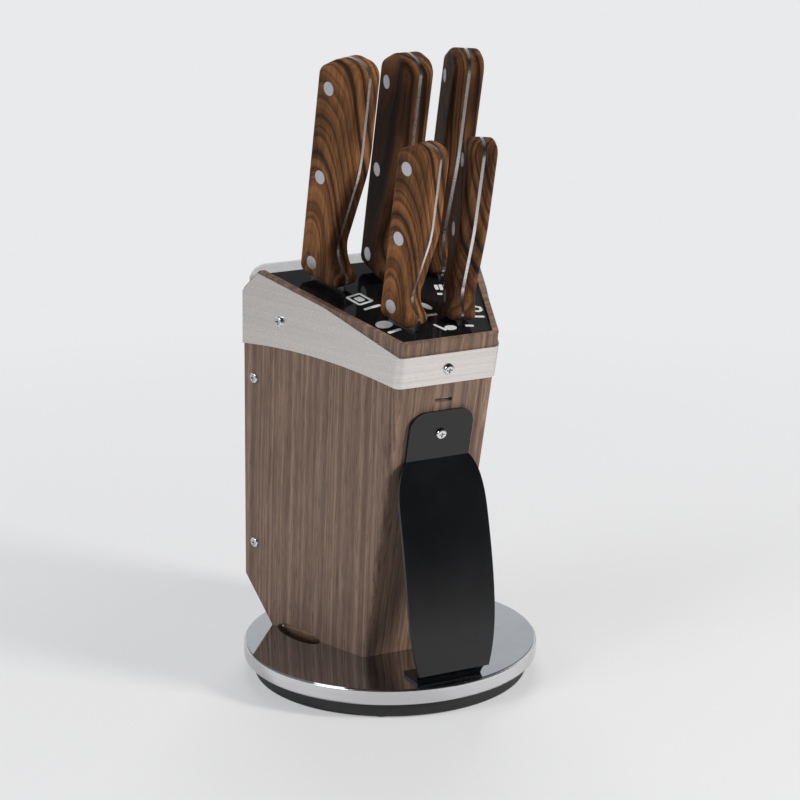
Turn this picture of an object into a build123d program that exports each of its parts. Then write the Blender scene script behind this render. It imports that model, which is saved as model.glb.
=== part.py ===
from build123d import *
from math import cos, hypot, radians, sin, tan
import os

# Knife block on a turntable, with five full-tang knives.
# Frame: +Z up, the origin is the centre of the base on the table, the front of the block faces -Y.
# Every size is in millimetres.

os.makedirs("parts", exist_ok=True)

# ---------------------------------------------------------------- driving dimensions
# Turntable base
disc_diameter = 160.0        # over the bright rim
rim_lip = 1.0                # bright edge left standing round the mirror plate
plate_gap = 0.2              # dark line between the plate and the rim
plate_thickness = 1.2
lip_drop = 0.3               # the rim's top edge lies this much below the plate
rim_radius = 0.6             # along the rim's top edge
skirt_chamfer = 1.0          # along the skirt's lower edge
pan_skin = 1.2               # sheet of the inverted pan
skirt_height = 7.4           # of the pan, below its top sheet's upper face
core_thickness = 6.2
core_gap = 0.4               # between the core board and the pan's skirt
foot_diameter = 149.0
foot_wall = 2.2
foot_floor = 2.4
foot_rim_gap = 0.7           # between the foot's wall and the core board
foot_edge_radius = 1.5
pad_proud = 0.8              # how far the pads stand out below the foot
pad_thickness = 1.6
pad_diameter = 12.0
pad_count = 6
pad_circle_radius = 66.0     # to the pads' centres
centre_pad_diameter = 24.0   # covers the nut
# Thrust bearing and pivot
ball_diameter = 5.0
ball_count = 24
ball_circle_radius = 45.0    # to the balls' centres
ball_sink = 1.0              # how deep a ball sits in each race
ball_play = 0.3              # free gap all round a ball
race_width = 14.0
race_thickness = 1.7
cage_thickness = 0.6
cage_width = 9.0
bolt_diameter = 8.0
bolt_play = 0.06             # running gap of the pivot bolt in the core board
bolt_head_diameter = 15.0
bolt_head_height = 1.8
bolt_head_gap = 0.25         # under and over the head
boss_diameter = 22.0
boss_gap = 0.4               # between the foot's boss and the core board
nut_height = 4.0
nut_across_flats = 13.0
nut_inset = 0.4              # the nut lies this much above the foot's underside
nut_play = 0.2               # between the nut and its pocket
thread_gap = 0.03
bolt_hole_play = 0.1         # in the foot
# Block walls
front_lean = 14.9            # degrees the front face leans forward
rear_lean = 8.1              # degrees the clear back leans forward
top_slope = 12.8             # degrees the top falls towards the front
wedge_angle = 19.2           # degrees each side wall splays outward towards the back
front_width = 54.8           # outside, between the side walls at the front
front_foot_y = -23.7         # where the front face meets the plate
front_height = 184.6         # of the front edge, above the plate
base_depth = 67.8            # of the side walls along the plate
heel_height = 26.8           # of the cut-back lower rear edge
heel_run = 16.5
rear_edge_height = 195.2     # where the rear edge meets the top chamfer
chamfer_run = 12.8
side_wall = 3.0
front_wall = 3.5
corner_radius = 4.0          # of the two upright front corners
arch_width = 32.0            # finger notch under each side wall
arch_height = 4.0
arch_centre = 48.0           # from the front face, along the plate
window_width = 10.0          # small slot in the front face
window_height = 2.4
window_corner = 0.4
window_drop = 17.9           # below the middle of the front part of the band
# Inside the block
tray_thickness = 5.0
heel_board = 4.0
back_thickness = 3.0         # clear back
back_rise = 12.0             # its top edge stands this much above the rear edge's top
back_corner = 9.0            # rounding of its two top corners
batten_depth = 8.0
batten_width = 8.0
batten_top = 172.0
batten_foot = 34.0
ledge_size = 4.0
ledge_gap = 12.0             # between the ledges' front ends and the front wall
# Steel band
band_thickness = 1.0
band_front_height = 17.8
band_front_drop = 7.2        # wood left showing above the band at the front
band_top_drop = 1.2          # wood left showing above the band along the side walls
band_meet = 51.2             # from the front edge to where the band starts to follow the wall's top
band_rear_height = 31.2      # below the top of the rear edge
band_bow = 4.5               # rise of the curved lower edge
# Screws
screw_head_diameter = 5.8
screw_head_height = 1.5
screw_shank_diameter = 2.8
screw_play = 0.1
screw_head_round = 0.9
cross_length = 3.2           # cross recess in a screw's head
cross_width = 0.8
cross_depth = 0.9
screw_end_gap = 0.4          # between a screw's end and the wood's inner face
rear_screw_inset = 7.6       # from the rear edge of a side wall
rear_screw_heights = (47.8, 145.5)
rear_screw_length = 8.0
band_screw_inset = 26.9      # from the rear edge
band_screw_height = 181.6
base_screw_diameter = 4.0
base_screw_head = 7.6
base_screw_head_height = 1.8
base_screw_head_gap = 0.2    # under the head
base_screw_reach = 4.0       # into the floor tray
base_screw_spacing = 34.0
# Slotted insert
insert_gap = 0.4             # all round, so that it lifts out
insert_recess = 1.5          # below the top of the walls
insert_stop = 0.8            # it ends this far in front of the walls' highest point
insert_thickness = 6.0
slot_play = 0.6              # each side of a blade
# Front brace
brace_sheet = 2.0
brace_tab_width = 36.4
brace_tab_bottom = 117.7     # height of the crease above the plate
brace_tab_top = 145.0
brace_tab_corner = 9.0
brace_width = 50.4           # at its widest
brace_shoulder = 84.0        # heights between which the blade keeps its width
brace_waist = 45.0
brace_flare = 0.9            # slope of its edges just below the tab
brace_taper = 0.35           # slope of its edges at the foot
brace_foot_width = 37.0
brace_edge_gap = 3.3         # between its lower end and the disc's edge
brace_screw_height = 132.4
brace_foot_length = 16.0
brace_foot_radius = 6.0      # outside, where the foot turns in
brace_bow = 4.0              # outward bow of the blade
# Knives
knife_lean = 14.4            # degrees every knife leans forward
fan_turn = 17.0              # degrees the outer knives are turned
back_row_pitch = 32.3
back_row_y = 5.4             # where the back row's axes pass through the insert's top
front_row_pitch = 31.4
front_row_y = -48.7
seat_gap = 3.0               # between a handle's lower end and the insert
rivet_diameter = 7.2
rivet_play = 0.05
rivet_proud = 0.05
handle_end_radius = 4.6      # rear corner at a handle's lower end
guard_radius = 3.8           # tip of the guard at a handle's lower end
guard_turn = 150.0           # degrees the guard's tip turns through
flank_angle = 13.0           # degrees the front edge leans out above the waist
butt_back_radius = 6.0       # rear corner at a handle's butt
handle_edge_radius = 3.0     # round along a scale's outer edge
tang_top = 6.0               # how far the blade's own outline reaches into the handle
neck_step = 1.4              # the blade's front edge lies this much behind the guard's tip
neck_length = 4.0
heel_depth = 8.0             # where the cutting edge begins, below the insert's top
tooth_radius = 6.0           # scallops along the bread knife's edge
tooth_depth = 0.7
tooth_pitch = 5.5
tooth_count = 20
tooth_start = 18.0           # depth of the first scallop

# ---------------------------------------------------------------- worked out from them
foot_under = pad_proud
foot_inside = foot_under + foot_floor
lower_race_top = foot_inside + race_thickness
ball_height = lower_race_top + ball_diameter / 2 - ball_sink
upper_race_under = ball_height + ball_diameter / 2 - ball_sink
core_under = upper_race_under + race_thickness
pan_under = core_under + core_thickness
pan_top = pan_under + pan_skin
plate_top = pan_top + plate_thickness
disc_radius = disc_diameter / 2
lean_slope = tan(radians(front_lean))
rear_slope = tan(radians(rear_lean))
rise_slope = tan(radians(top_slope))
lean = Vector(0, -lean_slope, 1)


def front_y(height):
    """Y of the front face at a height above the plate."""
    return front_foot_y - lean_slope * height


rear_edge_y = front_foot_y + base_depth + heel_run - rear_slope * (rear_edge_height - heel_height)


def rear_y(height):
    """Y of the side walls' rear edge at a height above the plate."""
    return rear_edge_y + rear_slope * (rear_edge_height - height)


def top_height(y):
    """Height of the walls' sloping top above the plate."""
    return front_height + (y - front_y(front_height)) * rise_slope


peak_y = rear_edge_y - chamfer_run
heel_foot = front_foot_y + base_depth
reach = 190.0                # length of a wall before it is cut at the rear
tall = 280.0                 # length of the upright runs before they are cut
span = 220.0                 # width of the cuts across the block
slot_cut = 40.0              # length of a slot's cutter each way
half_front = front_width / 2
splay = radians(wedge_angle)


# ---------------------------------------------------------------- helpers
def mirrored(side, points):
    """Swap a list of plan points to the left (-1) or right (+1) side."""
    return [(side * x, y) for x, y in points]


def plan_outline(grow):
    """Outline of the block at the plate, grown outward, with its two front corners rounded."""
    edge = half_front + grow * (1 - sin(splay)) / cos(splay)
    front = front_foot_y - grow
    back = front + reach
    wide = edge + reach * tan(splay)
    with BuildSketch(Plane.XY.offset(plate_top)) as outline:
        with BuildLine():
            Polyline((-edge, front), (edge, front), (wide, back), (-wide, back), close=True)
        make_face()
        fillet(outline.vertices().group_by(Axis.Y)[0], radius=corner_radius + grow)
    return outline.sketch


def hollow_outline(shrink):
    """Outline of the space between the side walls and behind the front wall, made smaller."""
    inset = (side_wall + shrink) / cos(splay)
    front = front_foot_y + front_wall + shrink
    edge = half_front - inset + (front - front_foot_y) * tan(splay)
    back = front + reach
    wide = edge + reach * tan(splay)
    return [(-edge, front), (edge, front), (wide, back), (-wide, back)]


def wall_strip(side, start, thickness):
    """Plan of a strip along a side wall, from a depth inside its outer face."""
    outer = half_front - start / cos(splay)
    inner = outer - thickness / cos(splay)
    run = reach * tan(splay)
    points = [(outer, front_foot_y), (outer + run, front_foot_y + reach)]
    points += [(inner + run, front_foot_y + reach), (inner, front_foot_y)]
    return mirrored(side, points)


def side_outline():
    """Side view of the walls as (y, z) points."""
    points = [
        (front_foot_y, 0),
        (front_y(front_height), front_height),
        (peak_y, top_height(peak_y)),
        (rear_edge_y, rear_edge_height),
        (rear_y(heel_height), heel_height),
        (heel_foot, 0),
    ]
    return [(y, z + plate_top) for y, z in points]


def cut_to(points):
    """Keep only what lies inside a side view, given as (y, z) points."""
    with BuildSketch(Plane.YZ) as view:
        with BuildLine():
            Polyline(*points, close=True)
        make_face()
    extrude(view.sketch, amount=span, both=True, mode=Mode.INTERSECT)


def upright(points):
    """Run a plan outline up along the leaning front."""
    with BuildSketch(Plane.XY.offset(plate_top)) as plan:
        with BuildLine():
            Polyline(*points, close=True)
        make_face()
    extrude(plan.sketch, amount=tall, dir=lean)


def leaning_slab(front_offset, thickness, low, high):
    """Side view of a slab parallel to the rear edge, measured forward from it."""
    return [
        (rear_y(low) - front_offset - thickness, low + plate_top),
        (rear_y(high) - front_offset - thickness, high + plate_top),
        (rear_y(high) - front_offset, high + plate_top),
        (rear_y(low) - front_offset, low + plate_top),
    ]


def finish(builder, name):
    """Label a piece and write its file."""
    builder.part.label = name
    export_step(builder.part, f"parts/{name}.step")


def side_wall_place(side, y, height, lift=0.0):
    """Plane on a side wall's outer face, its z axis pointing out of the wall."""
    along = (y - front_y(height)) / cos(splay)
    point = Vector(side * (half_front + along * sin(splay)), y, height + plate_top)
    out = Vector(side * cos(splay), -sin(splay), -lean_slope * sin(splay)).normalized()
    back = Vector(side * sin(splay), cos(splay), 0)
    return Plane(origin=point + out * lift, x_dir=back, z_dir=out)


def front_wall_place(height, lift=0.0):
    """Plane on the front face's middle line, its z axis pointing out of the wall."""
    out = Vector(0, -cos(radians(front_lean)), -sin(radians(front_lean)))
    point = Vector(0, front_y(height), height + plate_top) + out * lift
    return Plane(origin=point, x_dir=(1, 0, 0), z_dir=out)


def pan_screw(shank):
    """One cross-head screw, its head standing on the XY plane."""
    with BuildPart() as screw:
        with BuildSketch():
            Circle(screw_head_diameter / 2)
        extrude(amount=screw_head_height)
        fillet(screw.edges().group_by(Axis.Z)[-1], radius=screw_head_round)
        with BuildSketch():
            Circle(screw_shank_diameter / 2)
        extrude(amount=-shank)
        with BuildSketch(Plane.XY.offset(screw_head_height)):
            Rectangle(cross_length, cross_width)
            Rectangle(cross_width, cross_length)
        extrude(amount=-cross_depth, mode=Mode.SUBTRACT)
    return screw.part


def screw_group(name, places, shank):
    """Identical screws, one at each plane."""
    single = pan_screw(shank)
    with BuildPart() as group:
        with Locations(*[place.location for place in places]):
            add(single)
    finish(group, name)


def bore_at(places, radius, depth):
    """Clearance holes at planes, cut inward and outward."""
    with Locations(*[place.location for place in places]):
        Cylinder(radius, 2 * depth, mode=Mode.SUBTRACT)


# ---------------------------------------------------------------- turntable base
with BuildPart() as foot_shell:
    with BuildSketch(Plane.XY.offset(foot_under)):
        Circle(foot_diameter / 2)
    extrude(amount=core_under - foot_under - foot_rim_gap)
    with BuildSketch(Plane.XY.offset(foot_inside)):
        Circle(foot_diameter / 2 - foot_wall)
    extrude(amount=tall, mode=Mode.SUBTRACT)
    fillet(foot_shell.edges().filter_by(GeomType.CIRCLE).group_by(Axis.Z)[0], radius=foot_edge_radius)
    with BuildSketch(Plane.XY.offset(foot_inside)):
        Circle(boss_diameter / 2)
    extrude(amount=core_under - boss_gap - foot_inside)
    nut_roof = foot_under + nut_inset + nut_height
    with BuildSketch(Plane.XY.offset(foot_under)):
        RegularPolygon(nut_across_flats / 2 + nut_play, 6, major_radius=False)
    extrude(amount=nut_roof - foot_under, mode=Mode.SUBTRACT)
    with BuildSketch(Plane.XY):
        Circle(bolt_diameter / 2 + bolt_hole_play)
    extrude(amount=tall, mode=Mode.SUBTRACT)
    with BuildSketch(Plane.XY):
        with PolarLocations(pad_circle_radius, pad_count):
            Circle(pad_diameter / 2)
    extrude(amount=pad_thickness, mode=Mode.SUBTRACT)
finish(foot_shell, "foot_shell")

with BuildPart() as foot_pads:
    with BuildSketch(Plane.XY):
        with PolarLocations(pad_circle_radius, pad_count):
            Circle(pad_diameter / 2)
    extrude(amount=pad_thickness)
    with BuildSketch(Plane.XY):
        Circle(centre_pad_diameter / 2)
    extrude(amount=pad_proud)
finish(foot_pads, "foot_pads")

with BuildPart() as lower_race:
    with BuildSketch(Plane.XY.offset(foot_inside)):
        Circle(ball_circle_radius + race_width / 2)
        Circle(ball_circle_radius - race_width / 2, mode=Mode.SUBTRACT)
    extrude(amount=race_thickness)
    with BuildSketch(Plane.XZ):
        with Locations((ball_circle_radius, ball_height)):
            Circle(ball_diameter / 2 + ball_play)
    revolve(axis=Axis.Z, mode=Mode.SUBTRACT)
finish(lower_race, "lower_race")

with BuildPart() as upper_race:
    with BuildSketch(Plane.XY.offset(upper_race_under)):
        Circle(ball_circle_radius + race_width / 2)
        Circle(ball_circle_radius - race_width / 2, mode=Mode.SUBTRACT)
    extrude(amount=race_thickness)
    with BuildSketch(Plane.XZ):
        with Locations((ball_circle_radius, ball_height)):
            Circle(ball_diameter / 2 + ball_play)
    revolve(axis=Axis.Z, mode=Mode.SUBTRACT)
finish(upper_race, "upper_race")

with BuildPart() as bearing_balls:
    with Locations((0, 0, ball_height)):
        with PolarLocations(ball_circle_radius, ball_count):
            Sphere(ball_diameter / 2)
finish(bearing_balls, "bearing_balls")

with BuildPart() as ball_cage:
    with BuildSketch(Plane.XY.offset(ball_height - cage_thickness / 2)):
        Circle(ball_circle_radius + cage_width / 2)
        Circle(ball_circle_radius - cage_width / 2, mode=Mode.SUBTRACT)
        with PolarLocations(ball_circle_radius, ball_count):
            Circle(ball_diameter / 2 + ball_play, mode=Mode.SUBTRACT)
    extrude(amount=cage_thickness)
finish(ball_cage, "ball_cage")

head_under = pan_under - bolt_head_gap - bolt_head_height
with BuildPart() as pivot_bolt:
    with BuildSketch(Plane.XY.offset(foot_under + nut_inset)):
        Circle(bolt_diameter / 2)
    extrude(amount=head_under - foot_under - nut_inset)
    with BuildSketch(Plane.XY.offset(head_under)):
        Circle(bolt_head_diameter / 2)
    extrude(amount=bolt_head_height)
finish(pivot_bolt, "pivot_bolt")

with BuildPart() as pivot_nut:
    with BuildSketch(Plane.XY.offset(foot_under + nut_inset)):
        RegularPolygon(nut_across_flats / 2, 6, major_radius=False)
        Circle(bolt_diameter / 2 + thread_gap, mode=Mode.SUBTRACT)
    extrude(amount=nut_height)
finish(pivot_nut, "pivot_nut")

# The four screws that hold the block down come up through the core board, pan and plate.
screw_middle = front_foot_y + base_depth / 2
screw_points = [
    (x, screw_middle + y)
    for x in (-base_screw_spacing / 2, base_screw_spacing / 2)
    for y in (-base_screw_spacing / 2, base_screw_spacing / 2)
]
base_screw_hole = base_screw_diameter / 2 + screw_play

with BuildPart() as core_board:
    with BuildSketch(Plane.XY.offset(core_under)):
        Circle(disc_radius - rim_lip - pan_skin - core_gap)
        Circle(bolt_diameter / 2 + bolt_play, mode=Mode.SUBTRACT)
        with Locations(*screw_points):
            Circle(base_screw_hole, mode=Mode.SUBTRACT)
    extrude(amount=core_thickness)
    with BuildSketch(Plane.XY.offset(head_under - bolt_head_gap)):
        Circle(bolt_head_diameter / 2 + 2 * bolt_head_gap)
    extrude(amount=tall, mode=Mode.SUBTRACT)
    with BuildSketch(Plane.XY.offset(core_under)):
        with Locations(*screw_points):
            Circle(base_screw_head / 2 + screw_play)
    extrude(amount=base_screw_head_height + base_screw_head_gap, mode=Mode.SUBTRACT)
finish(core_board, "core_board")

with BuildPart() as disc_pan:
    with BuildSketch(Plane.XY.offset(pan_top - skirt_height)):
        Circle(disc_radius)
    extrude(amount=skirt_height + plate_thickness - lip_drop)
    fillet(disc_pan.edges().group_by(Axis.Z)[-1], radius=rim_radius)
    chamfer(disc_pan.edges().group_by(Axis.Z)[0], length=skirt_chamfer)
    with BuildSketch(Plane.XY.offset(pan_top)):
        Circle(disc_radius - rim_lip)
    extrude(amount=tall, mode=Mode.SUBTRACT)
    with BuildSketch(Plane.XY.offset(pan_under)):
        Circle(disc_radius - rim_lip - pan_skin)
    extrude(amount=-tall, mode=Mode.SUBTRACT)
    with BuildSketch(Plane.XY.offset(pan_under)):
        with Locations(*screw_points):
            Circle(base_screw_hole)
    extrude(amount=pan_skin, mode=Mode.SUBTRACT)
finish(disc_pan, "disc_pan")

with BuildPart() as mirror_plate:
    with BuildSketch(Plane.XY.offset(pan_top)):
        Circle(disc_radius - rim_lip - plate_gap)
        with Locations(*screw_points):
            Circle(base_screw_hole, mode=Mode.SUBTRACT)
    extrude(amount=plate_thickness)
finish(mirror_plate, "mirror_plate")

base_screw_shoulder = core_under + base_screw_head_gap + base_screw_head_height
with BuildPart() as base_screws:
    with BuildSketch(Plane.XY.offset(core_under + base_screw_head_gap)):
        with Locations(*screw_points):
            Circle(base_screw_head / 2)
    extrude(amount=base_screw_head_height)
    with BuildSketch(Plane.XY.offset(base_screw_shoulder)):
        with Locations(*screw_points):
            Circle(base_screw_diameter / 2)
    extrude(amount=plate_top + base_screw_reach - base_screw_shoulder)
finish(base_screws, "base_screws")

# ---------------------------------------------------------------- places of the block's screws
rear_screw_places = [
    side_wall_place(side, rear_y(height) - rear_screw_inset, height)
    for side in (-1, 1)
    for height in rear_screw_heights
]
band_side_places = [
    side_wall_place(side, rear_y(band_screw_height) - band_screw_inset, band_screw_height, band_thickness)
    for side in (-1, 1)
]
band_middle = front_height - band_front_drop - band_front_height / 2
band_places = band_side_places + [front_wall_place(band_middle, band_thickness)]
brace_place = front_wall_place(brace_screw_height, brace_sheet)
shank_hole = screw_shank_diameter / 2 + screw_play


# ---------------------------------------------------------------- block walls
def notch_under_walls():
    """The shallow arch under each side wall."""
    with BuildSketch(Plane.YZ) as notch:
        with Locations((front_foot_y + arch_centre, plate_top)):
            Ellipse(arch_width / 2, arch_height)
    extrude(notch.sketch, amount=span, both=True, mode=Mode.SUBTRACT)


for side, name in ((-1, "left_panel"), (1, "right_panel")):
    with BuildPart() as panel:
        upright(wall_strip(side, 0, side_wall))
        extrude(plan_outline(0), amount=tall, dir=lean, mode=Mode.INTERSECT)
        cut_to(side_outline())
        notch_under_walls()
        bore_at(rear_screw_places + band_places, shank_hole, side_wall + band_thickness)
    finish(panel, name)

with BuildPart() as front_panel:
    inner = half_front - side_wall / cos(splay)
    deep = inner + front_wall * tan(splay)
    upright([
        (-inner, front_foot_y),
        (inner, front_foot_y),
        (deep, front_foot_y + front_wall),
        (-deep, front_foot_y + front_wall),
    ])
    cut_to(side_outline())
    bore_at([brace_place, band_places[2]], shank_hole, 2 * (front_wall + brace_sheet))
    with BuildSketch(front_wall_place(band_middle - window_drop)):
        RectangleRounded(window_width, window_height, window_corner)
    extrude(amount=front_wall * 2, both=True, mode=Mode.SUBTRACT)
finish(front_panel, "front_panel")

heel_in = heel_board * hypot(heel_run, heel_height) / heel_height
with BuildPart() as floor_tray:
    upright(hollow_outline(0))
    cut_to([
        (front_foot_y, plate_top),
        (front_foot_y, plate_top + tray_thickness),
        (heel_foot, plate_top + tray_thickness),
        (heel_foot - heel_in, plate_top),
    ])
    with BuildSketch(Plane.XY.offset(plate_top)):
        with Locations(*screw_points):
            Circle(base_screw_hole)
    extrude(amount=tray_thickness, mode=Mode.SUBTRACT)
finish(floor_tray, "floor_tray")

# The heel board closes the cut-back lower rear edge.
heel_tray_y = heel_foot + heel_run * tray_thickness / heel_height
with BuildPart() as heel_panel:
    upright(hollow_outline(0))
    cut_to([
        (heel_tray_y - heel_in, plate_top + tray_thickness),
        (heel_foot + heel_run - heel_in, plate_top + heel_height),
        (heel_foot + heel_run, plate_top + heel_height),
        (heel_tray_y, plate_top + tray_thickness),
    ])
finish(heel_panel, "heel_panel")

back_top = rear_edge_height + back_rise
back_half = half_front - side_wall / cos(splay) + (rear_y(back_top) - front_y(back_top)) * tan(splay)
with BuildPart() as back_pane:
    upright(hollow_outline(0))
    cut_to(leaning_slab(0, back_thickness, heel_height, back_top))
    with BuildSketch(Plane.XZ) as back_view:
        with Locations((0, plate_top + back_top / 2)):
            Rectangle(2 * back_half, back_top)
        fillet(back_view.vertices().group_by(Axis.Y)[-1], radius=back_corner)
    extrude(back_view.sketch, amount=span, both=True, mode=Mode.INTERSECT)
finish(back_pane, "back_pane")

for side, name in ((-1, "left_batten"), (1, "right_batten")):
    with BuildPart() as batten:
        upright(wall_strip(side, side_wall, batten_width))
        cut_to(leaning_slab(back_thickness, batten_depth, batten_foot, batten_top))
        bore_at(rear_screw_places, shank_hole, side_wall + batten_width)
    finish(batten, name)


def band_view():
    """Side view of the steel band, with its curved lower edge."""
    front_top = front_height - band_front_drop
    front_low = front_top - band_front_height
    rear_low = rear_edge_height - band_rear_height
    meet = front_y(front_height) + band_meet
    edge = corner_radius
    low_front = (front_y(front_low) - edge, front_low + plate_top)
    low_rear = (rear_y(rear_low), rear_low + plate_top)
    middle = ((low_front[0] + low_rear[0]) / 2, (low_front[1] + low_rear[1]) / 2 + band_bow)
    level = plate_top - band_top_drop
    top = [
        (rear_edge_y, rear_edge_height + level),
        (peak_y, top_height(peak_y) + level),
        (meet, top_height(meet) + level),
        (front_y(front_top), front_top + plate_top),
        (front_y(front_top) - edge, front_top + plate_top),
    ]
    with BuildSketch(Plane.YZ) as view:
        with BuildLine():
            ThreePointArc(low_front, middle, low_rear)
            Polyline(low_rear, *top, low_front)
        make_face()
    return view.sketch


with BuildPart() as band:
    extrude(plan_outline(band_thickness), amount=tall, dir=lean)
    extrude(plan_outline(0), amount=tall, dir=lean, mode=Mode.SUBTRACT)
    extrude(band_view(), amount=span, both=True, mode=Mode.INTERSECT)
    bore_at(band_places, shank_hole, band_thickness * 3)
finish(band, "band")

screw_group("band_screws", band_places, side_wall + band_thickness - screw_end_gap)
screw_group("back_screws", rear_screw_places, rear_screw_length)

# ---------------------------------------------------------------- front brace
brace_front = brace_edge_gap - disc_radius


def brace_side():
    """Side view of the brace: tab, bowed blade and turned-in foot."""
    proud = brace_sheet / cos(radians(front_lean))
    start = (front_y(brace_tab_top) - proud, brace_tab_top + plate_top)
    crease = (front_y(brace_tab_bottom) - proud, brace_tab_bottom + plate_top)
    knee = (brace_front, plate_top + brace_foot_radius)
    heel = (brace_front + brace_foot_radius, plate_top)
    toe = (brace_front + brace_foot_radius + brace_foot_length, plate_top)
    middle = ((crease[0] + knee[0]) / 2 - brace_bow, (crease[1] + knee[1]) / 2)
    with BuildSketch(Plane.YZ) as view:
        with BuildLine():
            Line(start, crease)
            ThreePointArc(crease, middle, knee)
            RadiusArc(knee, heel, brace_foot_radius)
            Line(heel, toe)
            offset(amount=brace_sheet, side=Side.LEFT)
        make_face()
    return view.sketch


def brace_front_view():
    """Front view of the brace as a closed outline of (x, z)."""
    half_tab = brace_tab_width / 2
    half_wide = brace_width / 2
    half_foot = brace_foot_width / 2
    low = plate_top
    crease = low + brace_tab_bottom
    shoulder = low + brace_shoulder
    waist = low + brace_waist
    with BuildSketch(Plane.XZ) as view:
        with BuildLine():
            for side in (-1, 1):
                Line((0, low + brace_tab_top), (side * half_tab, low + brace_tab_top))
                Line((side * half_tab, low + brace_tab_top), (side * half_tab, crease))
                Spline(
                    (side * half_tab, crease),
                    (side * half_wide, shoulder),
                    (side * half_wide, waist),
                    (side * half_foot, low),
                    tangents=[(side * brace_flare, -1), (-side * brace_taper, -1)],
                )
                Line((side * half_foot, low), (0, low))
        make_face()
        fillet(view.vertices().group_by(Axis.Y)[-1], radius=brace_tab_corner)
    return view.sketch


with BuildPart() as brace:
    extrude(brace_side(), amount=span / 2, both=True)
    extrude(brace_front_view(), amount=span, both=True, mode=Mode.INTERSECT)
    bore_at([brace_place], shank_hole, brace_sheet * 2)
finish(brace, "brace")

screw_group("brace_screw", [brace_place], front_wall + brace_sheet - screw_end_gap)

# ---------------------------------------------------------------- knives
axis_tilt = radians(knife_lean)
knife_up = Vector(0, -sin(axis_tilt), cos(axis_tilt))


def seat_point(x, y):
    """Where a knife's axis passes through the insert's top."""
    return Vector(x, y, top_height(y) - insert_recess + plate_top)


def knife_plane(knife):
    """Plane of a knife's flat: its x axis points to the front, its y axis up along the knife."""
    forward = Vector(0, -cos(axis_tilt), -sin(axis_tilt))
    across = Vector(1, 0, 0)
    swing = radians(knife["turn"])
    ahead = forward * cos(swing) + across * sin(swing)
    return Plane(origin=seat_point(*knife["seat"]), x_dir=ahead, z_dir=ahead.cross(knife_up))


large_handle = dict(
    length=123.0,
    back=15.0,
    front=15.4,
    waist_radius=15.0,
    belly_radius=80.0,
    guard=14.4,
    butt_flat=17.5,
    butt_drop=9.5,
    butt_front=8.0,
    butt_middle=14.0,
    thickness=16.0,
    rivet_line=-5.4,
    rivet_low=11.2,
    rivet_high=17.6,
)
small_handle = dict(
    length=98.5,
    back=11.4,
    front=12.9,
    waist_radius=9.4,
    belly_radius=60.0,
    guard=11.4,
    butt_flat=13.0,
    butt_drop=7.5,
    butt_front=6.5,
    butt_middle=10.0,
    thickness=14.5,
    rivet_line=-2.8,
    rivet_low=11.1,
    rivet_high=14.3,
)

knives = {
    "carver": dict(
        seat=(-back_row_pitch, back_row_y),
        turn=fan_turn,
        handle=large_handle,
        spine=-12.0,
        edge=16.0,
        straight=110.0,
        belly=(13.0, -112.0),
        tip=(-3.0, -170.0),
        blade_thickness=1.6,
    ),
    "chef": dict(
        seat=(0.0, back_row_y),
        turn=0.0,
        handle=large_handle,
        spine=-12.0,
        edge=29.0,
        straight=100.0,
        belly=(22.0, -110.0),
        tip=(-1.0, -172.0),
        blade_thickness=1.6,
    ),
    "bread": dict(
        seat=(back_row_pitch, back_row_y),
        turn=-fan_turn,
        handle=large_handle,
        spine=-12.0,
        edge=16.0,
        straight=115.0,
        belly=(15.6, -132.0),
        tip=(2.0, -172.0),
        blade_thickness=1.6,
    ),
    "utility": dict(
        seat=(-front_row_pitch / 2, front_row_y),
        turn=fan_turn,
        handle=small_handle,
        spine=-9.5,
        edge=10.5,
        straight=75.0,
        belly=(8.0, -75.0),
        tip=(-3.0, -120.0),
        blade_thickness=1.5,
    ),
    "paring": dict(
        seat=(front_row_pitch / 2, front_row_y),
        turn=-fan_turn,
        handle=small_handle,
        spine=-9.5,
        edge=9.5,
        straight=50.0,
        belly=(7.0, -52.0),
        tip=(-4.0, -88.0),
        blade_thickness=1.5,
    ),
}


def handle_outline(handle):
    """Closed outline of a handle's flat, from its flared lower end to its butt."""
    back, front, guard = handle["back"], handle["front"], handle["guard"]
    corner = handle_end_radius
    base = seat_gap
    butt = base + handle["length"]
    rear_butt = (-back, butt - handle["butt_drop"])
    middle_butt = (front - handle["butt_flat"], butt)
    front_butt = (front, butt)
    belly_radius = handle["belly_radius"]
    belly_depth = belly_radius * (1 - cos(radians(flank_angle)))
    with BuildSketch() as flat:
        with BuildLine():
            Line((corner - back, base), (guard - guard_radius, base))
            tip = CenterArc((guard - guard_radius, base + guard_radius), guard_radius, -90, guard_turn)
            waist = JernArc(tip @ 1, tip % 1, handle["waist_radius"], 90 - guard_turn - flank_angle)
            run = (front - belly_depth - (waist @ 1).X) / sin(radians(flank_angle))
            flank = PolarLine(waist @ 1, run, direction=waist % 1)
            belly = JernArc(flank @ 1, flank % 1, belly_radius, flank_angle)
            Polyline(belly @ 1, front_butt, middle_butt, rear_butt, (-back, base + corner))
            RadiusArc((-back, base + corner), (corner - back, base), -corner)
        make_face()
        fillet(flat.vertices().sort_by_distance(front_butt)[0], radius=handle["butt_front"])
        fillet(flat.vertices().sort_by_distance(rear_butt)[0], radius=butt_back_radius)
        fillet(flat.vertices().sort_by_distance(middle_butt)[0], radius=handle["butt_middle"])
    return flat.sketch


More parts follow.
